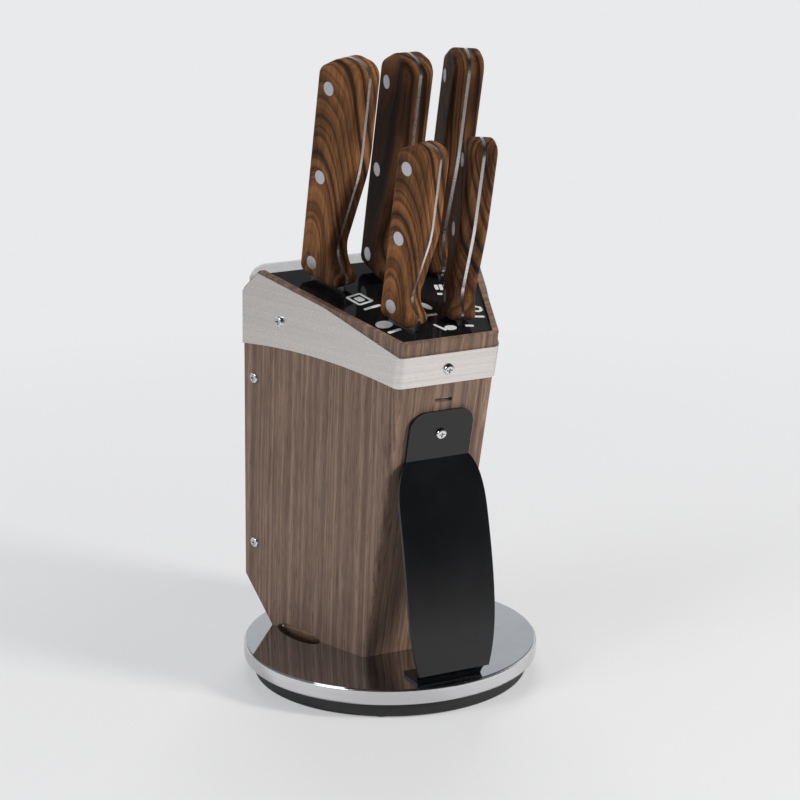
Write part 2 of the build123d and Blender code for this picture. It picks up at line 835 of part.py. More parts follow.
def blade_outline(name, knife):
    """Closed outline of a blade below the handle; its spine curves forward to the tip."""
    spine, edge, tip = knife["spine"], knife["edge"], knife["tip"]
    spine_end = (spine, -knife["straight"])
    heel = (edge, -heel_depth)
    neck = min(knife["handle"]["guard"] - neck_step, edge)
    with BuildSketch() as flat:
        with BuildLine():
            Polyline(spine_end, (spine, tang_top), (neck, tang_top), (neck, -neck_length), heel)
            Spline(heel, knife["belly"], tip, tangents=[(0, -1), (-1, -1)])
            TangentArc(spine_end, tip, tangent=(0, -1))
        make_face()
        if name == "bread":
            first = (edge + tooth_radius - tooth_depth, -tooth_start)
            with Locations(*[(first[0], first[1] - step * tooth_pitch) for step in range(tooth_count)]):
                Circle(tooth_radius, mode=Mode.SUBTRACT)
    return flat.sketch


def knife_sketch(place, flat):
    """Put a flat outline on a knife's plane."""
    return [face.moved(place.location) for face in flat.faces()]


def rivet_row(place, handle):
    """Planes at the three rivets, the middle one halfway between the others."""
    line = handle["rivet_line"]
    low = handle["rivet_low"]
    high = seat_gap + handle["length"] - handle["rivet_high"]
    return [
        Plane(origin=place.from_local_coords((line, height, 0)), x_dir=place.x_dir, z_dir=place.z_dir)
        for height in (low, (low + high) / 2, high)
    ]


for name, knife in knives.items():
    handle = knife["handle"]
    place = knife_plane(knife)
    half = handle["thickness"] / 2
    web = knife["blade_thickness"] / 2
    outline = handle_outline(handle)
    rivets = rivet_row(place, handle)

    with BuildPart() as blade:
        for face in knife_sketch(place, outline) + knife_sketch(place, blade_outline(name, knife)):
            extrude(face, amount=web, both=True)
        bore_at(rivets, rivet_diameter / 2 + rivet_play, half * 2)
    finish(blade, f"{name}_blade")

    for side, hand in ((-1, "left"), (1, "right")):
        with BuildPart() as scale:
            for face in knife_sketch(place, outline):
                extrude(face, amount=side * half)
                extrude(face, amount=side * web, mode=Mode.SUBTRACT)
            outer = scale.faces().sort_by(Axis(place.origin, place.z_dir * side))[-1]
            fillet(outer.edges(), radius=handle_edge_radius)
            bore_at(rivets, rivet_diameter / 2 + rivet_play, half * 2)
        finish(scale, f"{name}_{hand}_scale")

    with BuildPart() as pins:
        with Locations(*[rivet.location for rivet in rivets]):
            Cylinder(rivet_diameter / 2, 2 * (half + rivet_proud))
    finish(pins, f"{name}_rivets")

# ---------------------------------------------------------------- slotted insert
def under_top(front, drop, thickness):
    """Side view of a strip parallel to the walls' sloping top, reaching back to the insert's end."""
    ends = [(front, drop), (insert_end, drop), (insert_end, drop + thickness), (front, drop + thickness)]
    return [(y, top_height(y) - depth + plate_top) for y, depth in ends]


insert_end = peak_y - insert_stop
top_front_y = front_y(front_height)
with BuildPart() as insert:
    upright(hollow_outline(insert_gap))
    cut_to(under_top(top_front_y, insert_recess, insert_thickness))
    for knife in knives.values():
        place = knife_plane(knife)
        long = knife["edge"] - knife["spine"] + 2 * slot_play
        wide = knife["blade_thickness"] + 2 * slot_play
        middle = (knife["edge"] + knife["spine"]) / 2
        across = Plane(origin=place.from_local_coords((middle, 0, 0)), x_dir=place.x_dir, z_dir=knife_up)
        with BuildSketch(across):
            Rectangle(long, wide)
        extrude(amount=slot_cut, both=True, mode=Mode.SUBTRACT)
finish(insert, "insert")

# Ledges glued to the side walls carry the insert.
with BuildPart() as insert_ledges:
    for side in (-1, 1):
        upright(wall_strip(side, side_wall, ledge_size))
    under = insert_recess + insert_thickness
    cut_to(under_top(top_front_y + front_wall + ledge_gap, under, ledge_size))
finish(insert_ledges, "insert_ledges")
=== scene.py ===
# %% [markdown]
# # A knife block on a turntable, dressed for its picture
# The solid model of the block comes from CAD as 47 separate pieces. This lesson leaves every piece
# where CAD put it, gives each one a believable finish, eases a few edges, grinds the blades, prints
# small pictures on the insert, and sets up a quiet studio around it all. Read it from top to bottom:
# each step first says what the real thing is, then how it could be made, and why it is made this way
# here.

from math import cos, radians, sin, tan

import bpy
from mathutils import Matrix, Vector


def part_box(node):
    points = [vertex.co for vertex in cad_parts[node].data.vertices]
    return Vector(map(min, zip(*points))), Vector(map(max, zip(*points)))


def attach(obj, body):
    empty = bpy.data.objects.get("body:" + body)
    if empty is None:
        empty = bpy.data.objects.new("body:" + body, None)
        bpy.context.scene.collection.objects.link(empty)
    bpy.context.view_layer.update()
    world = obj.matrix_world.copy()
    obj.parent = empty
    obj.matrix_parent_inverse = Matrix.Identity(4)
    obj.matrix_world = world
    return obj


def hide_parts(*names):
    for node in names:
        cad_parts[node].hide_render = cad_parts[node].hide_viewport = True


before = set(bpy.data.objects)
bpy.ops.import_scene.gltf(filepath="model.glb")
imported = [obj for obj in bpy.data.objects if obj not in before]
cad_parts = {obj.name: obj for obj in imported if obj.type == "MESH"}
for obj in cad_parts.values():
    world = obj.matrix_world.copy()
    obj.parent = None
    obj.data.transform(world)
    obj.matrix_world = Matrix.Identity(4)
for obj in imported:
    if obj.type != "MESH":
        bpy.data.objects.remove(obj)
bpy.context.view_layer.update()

# %% [markdown]
# ## Small helpers for node trees
# A material is a tree of nodes. Typing out every link takes many lines, so one helper adds a node and
# fills its sockets, with a number or with another node's output, and a few small ones do arithmetic
# with it. Another turns the everyday 0 to 255 colours into the linear values that a shader expects.

# %% Helpers for node trees
def colour(red, green, blue):
    """A colour given as it looks on a screen, turned into the linear values of a shader."""
    parts = [part / 255 for part in (red, green, blue)]
    linear = [part / 12.92 if part <= 0.04045 else ((part + 0.055) / 1.055) ** 2.4 for part in parts]
    return (*linear, 1.0)


def put(tree, kind, inputs=None, **options):
    """Add a node, set its options, and fill its sockets with values or with other sockets."""
    made = tree.nodes.new(kind)
    for option, value in options.items():
        setattr(made, option, value)
    for name, value in (inputs or {}).items():
        if isinstance(value, bpy.types.NodeSocket):
            tree.links.new(value, made.inputs[name])
        else:
            made.inputs[name].default_value = value
    return made


def sums(tree, operation, *values, clamp=False):
    """One step of arithmetic on numbers or sockets."""
    made = put(tree, "ShaderNodeMath", dict(enumerate(values)), operation=operation, use_clamp=clamp)
    return made.outputs[0]


def vectors(tree, operation, *values):
    """One step of arithmetic on vectors."""
    made = put(tree, "ShaderNodeVectorMath", dict(enumerate(values)), operation=operation)
    return made.outputs["Value" if operation == "LENGTH" else "Vector"]


def between(tree, amount, first, second):
    """Mix two colours by an amount from 0 to 1. The node keeps its colours on sockets 6 and 7."""
    made = put(tree, "ShaderNodeMix", {0: amount, 6: first, 7: second}, data_type="RGBA")
    return made.outputs[2]


def ramp(tree, value, low, high, bottom=0.0, top=1.0):
    """Stretch a value so that low becomes bottom and high becomes top, and hold it there."""
    made = put(tree, "ShaderNodeMapRange", {0: value, 1: low, 2: high, 3: bottom, 4: top})
    return made.outputs[0]


def grain_noise(tree, vector, stretch, scale, detail=3.0, roughness=0.55):
    """Noise squeezed or drawn out along each axis, between 0 and 1."""
    drawn = vectors(tree, "MULTIPLY", vector, stretch)
    sockets = {"Vector": drawn, "Scale": scale, "Detail": detail, "Roughness": roughness}
    return put(tree, "ShaderNodeTexNoise", sockets).outputs["Fac"]


print("node helpers ready")

# %% [markdown]
# ## Groups: effects that several finishes share
# Wood, brushing and handling marks turn up on many pieces. Each is built once as a group with named
# inputs, and every finish places it with its own values. A group only gives out colours, masks and
# heights. The shader itself stays in the material, where it is easy to see and to export.

# %% A helper that opens a group
def open_group(title, inputs, outputs):
    """A new shader group with named sockets, and its entry and exit nodes."""
    group = bpy.data.node_groups.new(title, "ShaderNodeTree")
    for label, kind, value in inputs:
        socket = group.interface.new_socket(label, in_out="INPUT", socket_type=kind)
        if value is not None:
            socket.default_value = value
    for label, kind in outputs:
        group.interface.new_socket(label, in_out="OUTPUT", socket_type=kind)
    return group, group.nodes.new("NodeGroupInput").outputs, group.nodes.new("NodeGroupOutput").inputs


NUMBER = "NodeSocketFloat"
COLOUR = "NodeSocketColor"
VECTOR = "NodeSocketVector"
print("kinds of sockets:", NUMBER, COLOUR, VECTOR)

# %% [markdown]
# ### Wood
# The handles are cut from a warm wood with bold figure and the block is faced with straight walnut.
# Both are the same thing seen differently: yearly rings round the middle of a tree. A cut that runs
# almost along the rings shows them as nested arches, a cut far from the middle shows straight lines.
# So the group measures the distance to the middle line of a tree, lets it wander with a slow noise,
# and reads a one-dimensional noise along that distance, which makes good and lean years of its own.

# %% The distance to the middle of the tree
def middle_distance(group, given):
    """How far each point lies from the tree's tilted middle line, after it has wandered a little."""
    long = put(group, "ShaderNodeCombineXYZ", {0: 1.0, 1: 1.0, 2: given["Length"]}).outputs[0]
    drawn = vectors(group, "MULTIPLY", given["Vector"], long)
    sockets = {"Vector": drawn, "Scale": given["Wander Scale"], "Detail": 2.0, "Roughness": 0.5}
    drift = put(group, "ShaderNodeTexNoise", sockets).outputs["Color"]
    drift = vectors(group, "SUBTRACT", drift, (0.5, 0.5, 0.5))
    drift = vectors(group, "MULTIPLY", drift, given["Wander"])
    moved = vectors(group, "ADD", given["Vector"], drift)
    moved = vectors(group, "SUBTRACT", moved, given["Tree Middle"])
    parts = put(group, "ShaderNodeSeparateXYZ", {0: moved}).outputs
    depth = sums(group, "ADD", parts["Y"], sums(group, "MULTIPLY", parts["Z"], given["Tilt"]))
    across = put(group, "ShaderNodeCombineXYZ", {0: parts["X"], 1: depth}).outputs[0]
    return vectors(group, "LENGTH", across)


print("ring helper ready")

# %% [markdown]
# Rings alone look printed. Real wood also has cloudy smoke-like stains, fine fibres that run along
# it, short pores that take no light, and faint broad streaks. Each is a noise, drawn out along the
# grain by its own amount, and each mixes the colour a little towards the pale or the dark tone.

# %% The wood group
SMOKE_NOISE = dict(stretch=(1.0, 1.0, 0.4), scale=60.0, detail=3.0, roughness=0.55)
FIBRE_NOISE = dict(stretch=(1.0, 1.0, 0.02), scale=1300.0, detail=3.0, roughness=0.65)
PORE_NOISE = dict(stretch=(1.0, 1.0, 0.06), scale=1500.0, detail=1.0, roughness=0.3)
LATE_WIDTH = 0.22
PORE_DARKNESS = 0.45


def build_wood():
    """Rings, fibres and pores, with the grain roughly along Z."""
    group, given, gives = open_group(
        "wood figure",
        [
            ("Vector", VECTOR, None),
            ("Tree Middle", VECTOR, (0.0, 0.02, 0.0)),
            ("Tilt", NUMBER, 0.3),
            ("Rings", NUMBER, 400.0),
            ("Wander", NUMBER, 0.006),
            ("Wander Scale", NUMBER, 30.0),
            ("Length", NUMBER, 0.3),
            ("Streak Scale", NUMBER, 260.0),
            ("Streak Length", NUMBER, 0.03),
            ("Fibre", NUMBER, 0.5),
            ("Pale", COLOUR, colour(165, 110, 60)),
            ("Middle", COLOUR, colour(120, 78, 42)),
            ("Dark", COLOUR, colour(62, 40, 26)),
            ("Figure", NUMBER, 1.0),
            ("Figure Start", NUMBER, 0.5),
            ("Smoke", NUMBER, 0.0),
        ],
        [("Color", COLOUR), ("Height", NUMBER)],
    )
    place = given["Vector"]
    away = middle_distance(group, given)
    sockets = {"W": away, "Scale": given["Rings"], "Detail": 3.0, "Roughness": 0.62}
    years = put(group, "ShaderNodeTexNoise", sockets, noise_dimensions="1D").outputs["Fac"]
    early = ramp(group, years, 0.36, 0.56)
    late_end = sums(group, "ADD", given["Figure Start"], LATE_WIDTH)
    late = ramp(group, years, given["Figure Start"], late_end)
    smoke = ramp(group, grain_noise(group, place, **SMOKE_NOISE), 0.44, 0.66)
    fibres = grain_noise(group, place, **FIBRE_NOISE)
    pores = ramp(group, grain_noise(group, place, **PORE_NOISE), 0.62, 0.70)
    thin = put(group, "ShaderNodeCombineXYZ", {0: 1.0, 1: 1.0, 2: given["Streak Length"]}).outputs[0]
    streaks = grain_noise(group, place, thin, given["Streak Scale"], 3.0, 0.6)

    broad = sums(group, "MULTIPLY", streaks, 0.9)
    ground = sums(group, "ADD", sums(group, "MULTIPLY", early, 0.5), broad)
    tone = between(group, ramp(group, ground, 0.35, 1.05), given["Pale"], given["Middle"])
    dark_shares = [
        sums(group, "MULTIPLY", smoke, given["Smoke"]),
        sums(group, "MULTIPLY", late, given["Figure"], clamp=True),
        sums(group, "MULTIPLY", ramp(group, fibres, 0.42, 0.72), given["Fibre"]),
        sums(group, "MULTIPLY", pores, PORE_DARKNESS),
    ]
    for share in dark_shares:
        tone = between(group, share, tone, given["Dark"])
    hollow = sums(group, "SUBTRACT", sums(group, "MULTIPLY", fibres, 0.4), pores)
    group.links.new(tone, gives["Color"])
    group.links.new(hollow, gives["Height"])
    return group


wood_group = build_wood()
print("group:", wood_group.name, [item.name for item in wood_group.interface.items_tree])

# %% [markdown]
# ### Brushing
# A brushed sheet is covered with hair-thin parallel scratches. They matter less as a colour than as a
# roughness and a height that change quickly across the brushing and hardly at all along it.

# %% The brushing group
def build_brushing():
    """Parallel scratches along one axis: a height, and a mask for roughness."""
    group, given, gives = open_group(
        "brushing",
        [("Vector", VECTOR, None), ("Stretch", VECTOR, (12.0, 12.0, 1500.0))],
        [("Height", NUMBER), ("Mask", NUMBER)],
    )
    fine = grain_noise(group, given["Vector"], given["Stretch"], 1.0, 4.0, 0.7)
    broad = vectors(group, "MULTIPLY", given["Stretch"], (0.5, 0.5, 0.25))
    slow = grain_noise(group, given["Vector"], broad, 1.0, 2.0, 0.5)
    both = sums(group, "ADD", sums(group, "MULTIPLY", fine, 0.65), sums(group, "MULTIPLY", slow, 0.35))
    group.links.new(both, gives["Height"])
    group.links.new(ramp(group, both, 0.35, 0.65), gives["Mask"])
    return group


brushing_group = build_brushing()
print("group:", brushing_group.name)

# %% [markdown]
# ### Handling marks
# Nothing smooth stays perfectly clean: fingers leave broad cloudy smears and dust leaves fine specks.
# Two noises give one mask, which nudges roughness up by a little and colour by even less.

# %% The handling group
def build_handling():
    """Cloudy smears and fine specks as one mask."""
    group, given, gives = open_group(
        "handling marks",
        [("Vector", VECTOR, None), ("Smear Scale", NUMBER, 35.0), ("Speck Scale", NUMBER, 1600.0)],
        [("Mask", NUMBER), ("Specks", NUMBER)],
    )
    smears = grain_noise(group, given["Vector"], (1.0, 1.0, 0.7), given["Smear Scale"], 4.0, 0.6)
    specks = grain_noise(group, given["Vector"], (1.0, 1.0, 1.0), given["Speck Scale"], 1.0, 0.4)
    group.links.new(ramp(group, smears, 0.35, 0.7), gives["Mask"])
    group.links.new(ramp(group, specks, 0.62, 0.78), gives["Specks"])
    return group


handling_group = build_handling()
print("group:", handling_group.name)

# %% [markdown]
# ## Finishes
# Every finish starts the same way: an empty material, object coordinates that may be turned so that
# the grain runs the right way, and one Principled shader. The first helper below sets those up.
# Numbers that are the same everywhere go straight onto the shader's own sockets. Blender counts in
# metres, so a small length is written as so many millimetres times MM.

# %% Helpers that start a finish
MM = 0.001


def start_finish(title, turn=(0.0, 0.0, 0.0), shift=(0.0, 0.0, 0.0), **sockets):
    """A new material: its tree, its turned object coordinates and its shader."""
    material = bpy.data.materials.new(title)
    material.use_nodes = True
    tree = material.node_tree
    tree.nodes.clear()
    leave = tree.nodes.new("ShaderNodeOutputMaterial")
    shader = tree.nodes.new("ShaderNodeBsdfPrincipled")
    tree.links.new(shader.outputs[0], leave.inputs["Surface"])
    for name, value in sockets.items():
        shader.inputs[name.replace("_", " ")].default_value = value
    place = tree.nodes.new("ShaderNodeTexCoord").outputs["Object"]
    turned = put(tree, "ShaderNodeMapping", {"Vector": place, "Rotation": turn, "Location": shift})
    return material, tree, turned.outputs[0], shader


def use_group(tree, group, **inputs):
    """Place a group in a tree; underscores in names stand for spaces."""
    made = tree.nodes.new("ShaderNodeGroup")
    made.node_tree = group
    for name, value in inputs.items():
        socket = made.inputs[name.replace("_", " ")]
        if isinstance(value, bpy.types.NodeSocket):
            tree.links.new(value, socket)
        else:
            socket.default_value = value
    return made.outputs


def bump(tree, shader, height, strength, distance):
    """Feed a height to the shader as a small bump."""
    sockets = {"Strength": strength, "Distance": distance, "Height": height}
    made = put(tree, "ShaderNodeBump", sockets)
    tree.links.new(made.outputs[0], shader.inputs["Normal"])


finishes = {}
print("finish helpers ready")

# %% [markdown]
# ### Walnut veneer on the block
# The block's faces are a matt, greyish walnut with narrow streaks that stand upright. The same wood
# group is asked for many thin rings that hardly wander, with the contrast in the fibres. The front
# board leans forward and its grain leans with it. The side boards were cut from another tree, whose
# middle lies well to the side, so that their streaks stay straight too.

# %% Walnut and the plain inner woods
FRONT_LEAN = radians(14.9)
SIDE_LEAN = radians(9.0)


def wood_finish(title, turn, shift, roughness, pale, middle, dark, **figure):
    """A wood finish with the grain turned into place."""
    material, tree, place, shader = start_finish(title, turn, shift)
    wood = use_group(tree, wood_group, Vector=place, Pale=pale, Middle=middle, Dark=dark, **figure)
    tree.links.new(wood["Color"], shader.inputs["Base Color"])
    marks = use_group(tree, handling_group, Vector=place)
    rough = ramp(tree, marks["Mask"], 0.0, 1.0, roughness - 0.04, roughness + 0.06)
    tree.links.new(rough, shader.inputs["Roughness"])
    bump(tree, shader, wood["Height"], 0.35, 0.15 * MM)
    finishes[title] = material
    return shader


WALNUT = dict(pale=colour(160, 132, 112), middle=colour(120, 96, 83), dark=colour(60, 43, 35))
STRAIGHT = dict(
    Tree_Middle=(0.25, 0.32, 0.0), Tilt=0.0, Rings=260.0, Wander=0.0016, Wander_Scale=9.0,
    Length=0.10, Streak_Scale=520.0, Streak_Length=0.012, Fibre=0.5,
    Figure=0.22, Figure_Start=0.5, Smoke=0.12,
)
ALONG_SIDE = dict(STRAIGHT, Tree_Middle=(0.08, -0.38, 0.0))
wood_finish("walnut_side", (-SIDE_LEAN, 0, 0), (0, 0, 0), 0.6, **WALNUT, **ALONG_SIDE)
wood_finish("walnut_front", (-FRONT_LEAN, 0, 0), (0.05, 0.4, 0.2), 0.6, **WALNUT, **STRAIGHT)

BEECH = dict(pale=colour(150, 120, 90), middle=colour(122, 94, 68), dark=colour(84, 60, 42))
wood_finish("inner_wood", (0, 0, 0), (0.1, 0.2, 0.3), 0.62, **BEECH, **STRAIGHT)
BOARD = dict(pale=colour(150, 122, 92), middle=colour(132, 104, 76), dark=colour(96, 74, 52))
FELTED = dict(
    Rings=300.0, Wander=0.02, Wander_Scale=120.0, Length=1.0, Streak_Length=1.0, Fibre=0.4, Figure=0.3,
)
wood_finish("pressed_board", (0, 0, 0), (0, 0, 0), 0.75, **BOARD, **FELTED)
print("woods:", sorted(finishes))

# %% [markdown]
# ### Where each knife sits
# Every knife leans forward with the block, and the outer ones are turned a little, so that the handles
# fan out. Its own frame has X towards its cutting edge, Y across its flat and Z up the handle, and
# starts where the knife passes through the insert's sloping face. That face is read from the CAD
# insert, whose highest points are its rear edge. The handle wood and the ground blades are both
# worked out in this frame.

# %% The frames of the knives
TOP_SLOPE = radians(12.8)
KNIFE_LEAN = radians(14.4)
FAN = radians(17.0)
knife_turns = {"carver": FAN, "chef": 0.0, "bread": -FAN, "utility": FAN, "paring": -FAN}
seats = {
    "carver": (-32.3, 5.4), "chef": (0.0, 5.4), "bread": (32.3, 5.4),
    "utility": (-15.7, -48.7), "paring": (15.7, -48.7),
}
insert_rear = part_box("insert")[1]


def insert_height(y):
    """Height of the insert's upper face above the table, at a depth y."""
    return insert_rear.z - (insert_rear.y - y) * tan(TOP_SLOPE)


def knife_place(knife):
    """A knife's own frame: X to its front, Z up the handle, origin at the insert's face."""
    turn = knife_turns[knife]
    up = Vector((0, -sin(KNIFE_LEAN), cos(KNIFE_LEAN)))
    ahead = Vector((0, -cos(KNIFE_LEAN), -sin(KNIFE_LEAN))) * cos(turn) + Vector((sin(turn), 0, 0))
    place = Matrix((ahead, up.cross(ahead), up)).transposed().to_4x4()
    x, y = (part * MM for part in seats[knife])
    place.translation = (x, y, insert_height(y))
    return place


print("the insert rises to", round(insert_rear.z, 4))
print("the carver sits at", [round(part, 4) for part in knife_place("carver").translation])

# %% [markdown]
# ### Handle wood
# Each handle is a pair of scales cut from one piece of warm brown wood with dark, arched figure. No
# two handles match, so for each knife the middle of the tree lies somewhere else: close by and well
# tilted it gives nested arches, farther away it gives stripes. The chef, bread and paring handles take
# the darker palette, which is partly a darker wood and partly painted shade for the shade that the
# neighbouring handles cast on them. The oiled surface only shines softly, so its roughness is a little
# over one half and its mirror part is turned down.

# %% Handle wood, one finish for each knife
WARM = dict(pale=colour(160, 108, 66), middle=colour(108, 72, 46), dark=colour(36, 25, 19))
# The darker palette below is partly a darker wood and partly painted shade for handles that stand in their
# neighbours' shade.
DEEP_WOOD_AND_SHADE = dict(pale=colour(126, 84, 52), middle=colour(80, 53, 36), dark=colour(22, 15, 12))
HANDLE = dict(Wander_Scale=26.0, Length=0.5, Streak_Length=0.05, Fibre=0.35, Smoke=0.6)
BOLD = dict(Tilt=0.30, Wander=0.006, Figure=0.85)
STRIPED = dict(Wander=0.005, Figure=0.8)
RESTLESS = dict(Tilt=0.35, Wander=0.008, Figure=0.85)
handle_looks = {
    "carver": dict(WARM, **BOLD, Tree_Middle=(-0.008, -0.0095, 0), Rings=330.0, Figure_Start=0.49),
    "chef": dict(DEEP_WOOD_AND_SHADE, **STRIPED, Tree_Middle=(-0.010, 0.045, 0), Rings=300.0, Figure_Start=0.44, Tilt=0.04),
    "bread": dict(DEEP_WOOD_AND_SHADE, **STRIPED, Tree_Middle=(0.004, 0.055, 0), Rings=340.0, Figure_Start=0.47, Tilt=0.05),
    "utility": dict(WARM, **BOLD, Tree_Middle=(-0.004, -0.010, 0), Rings=360.0, Figure_Start=0.48),
    "paring": dict(DEEP_WOOD_AND_SHADE, **RESTLESS, Tree_Middle=(-0.020, -0.012, 0), Rings=340.0, Figure_Start=0.48),
}
for knife, look in handle_looks.items():
    inward = knife_place(knife).inverted()
    turn, shift = tuple(inward.to_euler()), tuple(inward.translation)
    shader = wood_finish(f"{knife}_wood", turn, shift, 0.56, **look, **HANDLE)
    shader.inputs["Specular IOR Level"].default_value = 0.1
print("handle woods:", [title for title in finishes if title.split("_")[0] in knife_turns])

# %% [markdown]
# ### Steel, chrome and the mirror plate
# All of them are bare metal: Metallic is one and the colour is the metal's own pale grey. What sets
# them apart is the surface. The band is brushed along its length, blades are ground across, screws
# are nearly smooth, rivets are softly polished, and the turntable's plate is a mirror with the
# faintest smears.

# %% Metals
LENGTHWISE = (9.0, 9.0, 1600.0)
ACROSS_BLADE = (12.0, 12.0, 1300.0)


def metal_finish(title, tint, roughness, spread, stretch=None, strength=0.08, turn=(0, 0, 0)):
    """A bare metal of a tint and a roughness that varies by spread; a stretch makes it brushed."""
    material, tree, place, shader = start_finish(title, turn, Metallic=1.0)
    if stretch is None:
        marks = use_group(tree, handling_group, Vector=place)
        mask = marks["Mask"]
        bump(tree, shader, marks["Specks"], strength, 0.02 * MM)
    else:
        lines = use_group(tree, brushing_group, Vector=place, Stretch=stretch)
        mask = lines["Mask"]
        bump(tree, shader, lines["Height"], strength, 0.05 * MM)
    dull = tuple(part * 0.9 for part in tint[:3]) + (1.0,)
    tree.links.new(between(tree, mask, tint, dull), shader.inputs["Base Color"])
    rough = ramp(tree, mask, 0.0, 1.0, roughness - spread, roughness + spread)
    tree.links.new(rough, shader.inputs["Roughness"])
    finishes[title] = material


metal_finish("band_steel", colour(240, 235, 231), 0.28, 0.05, LENGTHWISE, 0.10)
metal_finish("rim_steel", colour(226, 226, 228), 0.14, 0.03, LENGTHWISE, 0.04)
metal_finish("screw_chrome", colour(232, 232, 234), 0.10, 0.03)
metal_finish("rivet_steel", colour(236, 236, 242), 0.38, 0.05)
metal_finish("mirror_top", colour(184, 186, 190), 0.045, 0.012, strength=0.01)
metal_finish("plated_steel", colour(196, 196, 190), 0.35, 0.06)
metal_finish("ball_steel", colour(226, 226, 228), 0.08, 0.02)
for knife in knife_turns:
    inward = tuple(knife_place(knife).inverted().to_euler())
    metal_finish(f"{knife}_steel", colour(236, 236, 238), 0.30, 0.05, ACROSS_BLADE, 0.06, inward)
print("metals:", [title for title in finishes if "wood" not in title])

# %% [markdown]
# ### Black parts and the clear back
# The brace is lacquered steel: smooth enough to mirror the room softly, with a skin of tiny bumps.
# The slotted insert is moulded with a polished face, so it mirrors the handles. The foot and its pads
# are plain matt mouldings. The back is a clear plastic sheet, which is all transmission with an index
# of 1.49. An alpha below one lets lamp light through it as well, so that the inside isn't too dark.

# %% Paint and plastics
def plastic_finish(title, tint, roughness, spread, strength, distance):
    """A moulded or painted surface with handling marks and a skin of bumps of some distance."""
    material, tree, place, shader = start_finish(title)
    marks = use_group(tree, handling_group, Vector=place)
    lighter = tuple(part * 1.25 + 0.002 for part in tint[:3]) + (1.0,)
    tone = between(tree, marks["Mask"], tint, lighter)
    tree.links.new(tone, shader.inputs["Base Color"])
    rough = ramp(tree, marks["Mask"], 0.0, 1.0, roughness - spread, roughness + spread)
    tree.links.new(rough, shader.inputs["Roughness"])
    bump(tree, shader, marks["Specks"], strength, distance)
    finishes[title] = material


plastic_finish("brace_black", colour(14, 15, 17), 0.25, 0.04, 0.15, 0.03 * MM)
plastic_finish("insert_gloss", colour(22, 23, 25), 0.07, 0.02, 0.02, 0.02 * MM)
plastic_finish("foot_plastic", colour(34, 34, 36), 0.5, 0.06, 0.2, 0.05 * MM)
plastic_finish("pad_rubber", colour(44, 44, 45), 0.8, 0.05, 0.3, 0.05 * MM)
plastic_finish("cage_plastic", colour(208, 204, 190), 0.45, 0.05, 0.1, 0.04 * MM)
plastic_finish("print_white", colour(222, 224, 224), 0.5, 0.05, 0.05, 0.01 * MM)


def clear_finish():
    """The clear plastic of the back."""
    material, tree, place, shader = start_finish(
        "clear_back", Transmission_Weight=1.0, IOR=1.49, Metallic=0.0, Alpha=0.6
    )
    marks = use_group(tree, handling_group, Vector=place, Smear_Scale=18.0)
    tint = between(tree, marks["Mask"], (0.985, 0.995, 0.995, 1.0), (0.965, 0.985, 0.985, 1.0))
    tree.links.new(tint, shader.inputs["Base Color"])
    tree.links.new(ramp(tree, marks["Mask"], 0.0, 1.0, 0.0, 0.03), shader.inputs["Roughness"])
    finishes["clear_back"] = material


clear_finish()
print("finishes:", len(finishes))

# %% [markdown]
# ## Dressing the CAD pieces
# The pieces keep their shapes and places. Only the material slot of each mesh is filled. A list says
# which pieces wear each finish, from the foot upwards, and the knives are added to it by a loop.

# %% Give every CAD piece its finish
worn = {
    "foot_plastic": ["foot_shell"],
    "pad_rubber": ["foot_pads"],
    "plated_steel": ["lower_race", "upper_race", "pivot_bolt", "pivot_nut", "base_screws"],
    "ball_steel": ["bearing_balls"],
    "cage_plastic": ["ball_cage"],
    "pressed_board": ["core_board"],
    "rim_steel": ["disc_pan"],
    "mirror_top": ["mirror_plate"],
    "walnut_side": ["left_panel", "right_panel"],
    "walnut_front": ["front_panel", "heel_panel"],
    "inner_wood": ["floor_tray", "left_batten", "right_batten", "insert_ledges"],
    "clear_back": ["back_pane"],
    "band_steel": ["band"],
    "screw_chrome": ["band_screws", "back_screws", "brace_screw"],
    "brace_black": ["brace"],
    "insert_gloss": ["insert"],
    "rivet_steel": [f"{knife}_rivets" for knife in knife_turns],
}
for knife in knife_turns:
    worn[f"{knife}_steel"] = [f"{knife}_blade"]
    worn[f"{knife}_wood"] = [f"{knife}_left_scale", f"{knife}_right_scale"]
for title, pieces in worn.items():
    for piece in pieces:
        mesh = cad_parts[piece].data
        mesh.materials.clear()
        mesh.materials.append(finishes[title])
bare = set(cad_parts) - {piece for pieces in worn.values() for piece in pieces}
print("dressed pieces:", sum(len(pieces) for pieces in worn.values()), "bare:", bare)

# %% [markdown]
# ## Taking a copy to work on
# A CAD mesh is a heap of loose triangles, fine to look at but useless to a modelling tool. Where a
# piece needs a finer shape, it is duplicated, its triangles are merged into clean faces, and the copy
# is worked on. The CAD mesh also brings stored normals, which turn into dents as soon as faces are
# cut, so the copy drops them. The CAD piece stays hidden underneath, as the shape that physics uses.

# %% Helpers for working copies
SAME_POINT = 0.002 * MM
SAME_PLANE = radians(0.6)


def alone(thing):
    """Select one object and nothing else, because every tool acts on all that is selected."""
    bpy.ops.object.select_all(action="DESELECT")
    thing.select_set(True)
    bpy.context.view_layer.objects.active = thing


def working_copy(node, title):
    """A merged copy of a CAD piece with clean flat faces, attached to nothing yet."""
    alone(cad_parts[node])
    bpy.ops.object.duplicate()
    made = bpy.context.object
    made.name = made.data.name = title
    made.parent = None
    for note in [note for note in made.keys() if note.startswith("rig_")]:
        del made[note]
    bpy.ops.mesh.customdata_custom_splitnormals_clear()
    bpy.ops.object.mode_set(mode="EDIT")
    bpy.ops.mesh.select_all(action="SELECT")
    bpy.ops.mesh.remove_doubles(threshold=SAME_POINT)
    bpy.ops.mesh.dissolve_limited(angle_limit=SAME_PLANE)
    bpy.ops.object.mode_set(mode="OBJECT")
    return made


def settle(made, body, slot, *nodes):
    """Let a finished piece ride on its body, in place of the CAD pieces that it refines."""
    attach(made, body)
    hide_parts(*nodes)
    print(made.name, "faces:", len(made.data.polygons), "rides on", body)


print("copy helpers ready")

